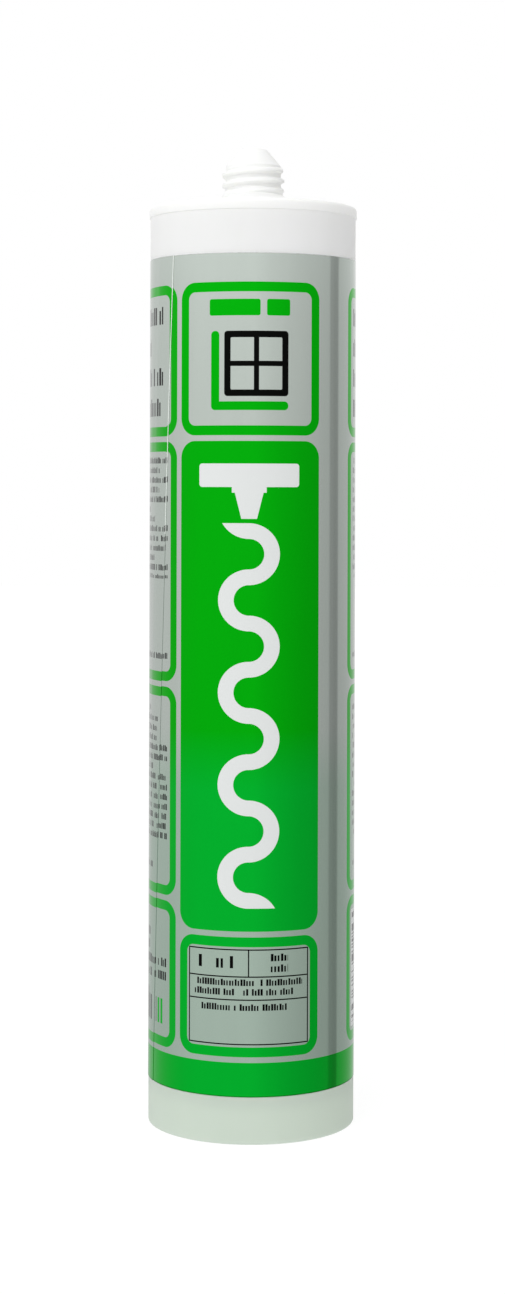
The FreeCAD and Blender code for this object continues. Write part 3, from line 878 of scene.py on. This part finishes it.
def makeSurround():
    # a tube-shaped wall round the cartridge, which only reflections and soft light see
    deselectAll()
    bpy.ops.mesh.primitive_cylinder_add(
        vertices=128, radius=studio["wallDistance"], depth=1, end_fill_type="NOTHING"
    )
    wall = bpy.context.object
    wall.name = "surround"
    bpy.ops.object.mode_set(mode="EDIT")
    bpy.ops.mesh.select_all(action="SELECT")
    bpy.ops.transform.resize(value=(1, 1, studio["wallTop"] - studio["wallBottom"]))
    bpy.ops.transform.translate(value=(0, 0, (studio["wallTop"] + studio["wallBottom"]) / 2))
    bpy.ops.object.mode_set(mode="OBJECT")

    finish = Finish("surroundGlow")
    x, y, z = finish.place()
    turn = finish.maths("ARCTAN2", x, 0 - y) / fullTurn + 0.5
    ramp = finish.add("ShaderNodeValToRGB", None, {"Fac": turn})
    stops = ramp.color_ramp.elements
    stops.remove(stops[1])
    for direction, glow in studio["glow"]:
        stop = stops.new(direction / 360 + 0.5) if direction > -180 else stops[0]
        stop.color = (glow, glow, glow, 1)
    climb = (z * mm - studio["lowest"]) / (studio["highest"] - studio["lowest"])
    low = 1 - climb.atLeast(0).atMost(1)
    fromRight = 0.7 + 0.15 * finish.maths("SINE", (turn - 0.5) * fullTurn).atLeast(0)
    dimming = (1 - studio["lowGlow"]) * low.root() * fromRight
    colour = finish.blend(dimming, finish.read(ramp), (0, 0, 0, 1))
    emission = finish.add("ShaderNodeEmission", None, {"Color": colour})
    output = [node for node in finish.nodes if node.type == "OUTPUT_MATERIAL"][0]
    finish.links.new(emission.outputs["Emission"], output.inputs["Surface"])
    dress(wall, finish.material)
    wall.visible_camera = False
    return wall


def makeLamp():
    lamp = studio["lamp"]
    data = bpy.data.lights.new("softLamp", "AREA")
    data.shape = "DISK"
    data.size = lamp["size"]
    data.energy = lamp["power"]
    piece = bpy.data.objects.new("softLamp", data)
    bpy.context.scene.collection.objects.link(piece)
    turn = math.radians(lamp["direction"] - 90)
    rise = math.radians(lamp["rise"])
    away = lamp["distance"] * math.cos(rise)
    height = studio["aimHeight"] + lamp["distance"] * math.sin(rise)
    piece.location = (away * math.cos(turn), away * math.sin(turn), height)
    piece.rotation_euler = (math.pi / 2 - rise, 0, turn + math.pi / 2)
    return piece


def makeFloor():
    deselectAll()
    bpy.ops.mesh.primitive_plane_add(size=studio["floorSize"], location=(0, 0, 0))
    floor = bpy.context.object
    floor.name = "studioFloor"
    material = bpy.data.materials.new("paleFloor")
    material.use_nodes = True
    nodes = material.node_tree.nodes
    links = material.node_tree.links
    nodes.clear()
    matte = nodes.new("ShaderNodeBsdfDiffuse")
    matte.inputs["Color"].default_value = studio["floorColour"]
    glow = nodes.new("ShaderNodeEmission")
    glow.inputs["Strength"].default_value = studio["floorGlow"]
    path = nodes.new("ShaderNodeLightPath")
    seen = path.outputs["Is Camera Ray"]
    for name in ("Is Glossy Ray", "Is Transmission Ray"):
        total = nodes.new("ShaderNodeMath")
        total.operation = "ADD"
        total.use_clamp = True
        links.new(seen, total.inputs[0])
        links.new(path.outputs[name], total.inputs[1])
        seen = total.outputs[0]
    share = nodes.new("ShaderNodeMath")
    share.operation = "MULTIPLY"
    share.inputs[1].default_value = 1 - studio["shadowShare"]
    links.new(seen, share.inputs[0])
    whiten = nodes.new("ShaderNodeMixShader")
    links.new(share.outputs[0], whiten.inputs["Fac"])
    links.new(matte.outputs[0], whiten.inputs[1])
    links.new(glow.outputs[0], whiten.inputs[2])
    # one-sided, so that the open rear end can be seen and lit from below
    side = nodes.new("ShaderNodeNewGeometry")
    clear = nodes.new("ShaderNodeBsdfTransparent")
    oneSided = nodes.new("ShaderNodeMixShader")
    links.new(side.outputs["Backfacing"], oneSided.inputs["Fac"])
    links.new(whiten.outputs[0], oneSided.inputs[1])
    links.new(clear.outputs[0], oneSided.inputs[2])
    output = nodes.new("ShaderNodeOutputMaterial")
    links.new(oneSided.outputs[0], output.inputs["Surface"])
    dress(floor, material)
    floor.visible_glossy = False
    floor.visible_diffuse = False
    floor.visible_shadow = False
    return floor


def makeWorld():
    world = bpy.data.worlds.new("whiteStudio")
    bpy.context.scene.world = world
    world.use_nodes = True
    background = world.node_tree.nodes["Background"]
    background.inputs["Color"].default_value = (1, 1, 1, 1)
    background.inputs["Strength"].default_value = studio["worldGlow"]


makeFloor()
makeSurround()
makeLamp()
makeWorld()

camera = {"distance": 583.6, "height": 151.7, "focalPixels": 2437.7, "horizonPixel": 484.0, "lean": 0.157}
imageWidth = 505
imageHeight = 1294
cameraData = bpy.data.cameras.new("photoCamera")
cameraData.sensor_width = 36
cameraData.sensor_fit = "AUTO"
cameraData.lens = 36 * camera["focalPixels"] / imageHeight
cameraData.shift_y = (camera["horizonPixel"] - imageHeight / 2) / imageHeight
cameraData.clip_start = 0.01
cameraPiece = bpy.data.objects.new("photoCamera", cameraData)
bpy.context.scene.collection.objects.link(cameraPiece)
cameraPiece.location = (0, -camera["distance"] * mm, camera["height"] * mm)
cameraPiece.rotation_euler = (math.pi / 2, -math.radians(camera["lean"]), 0)
bpy.context.scene.camera = cameraPiece
bpy.context.scene.view_settings.view_transform = "Standard"
print("studio and camera set")
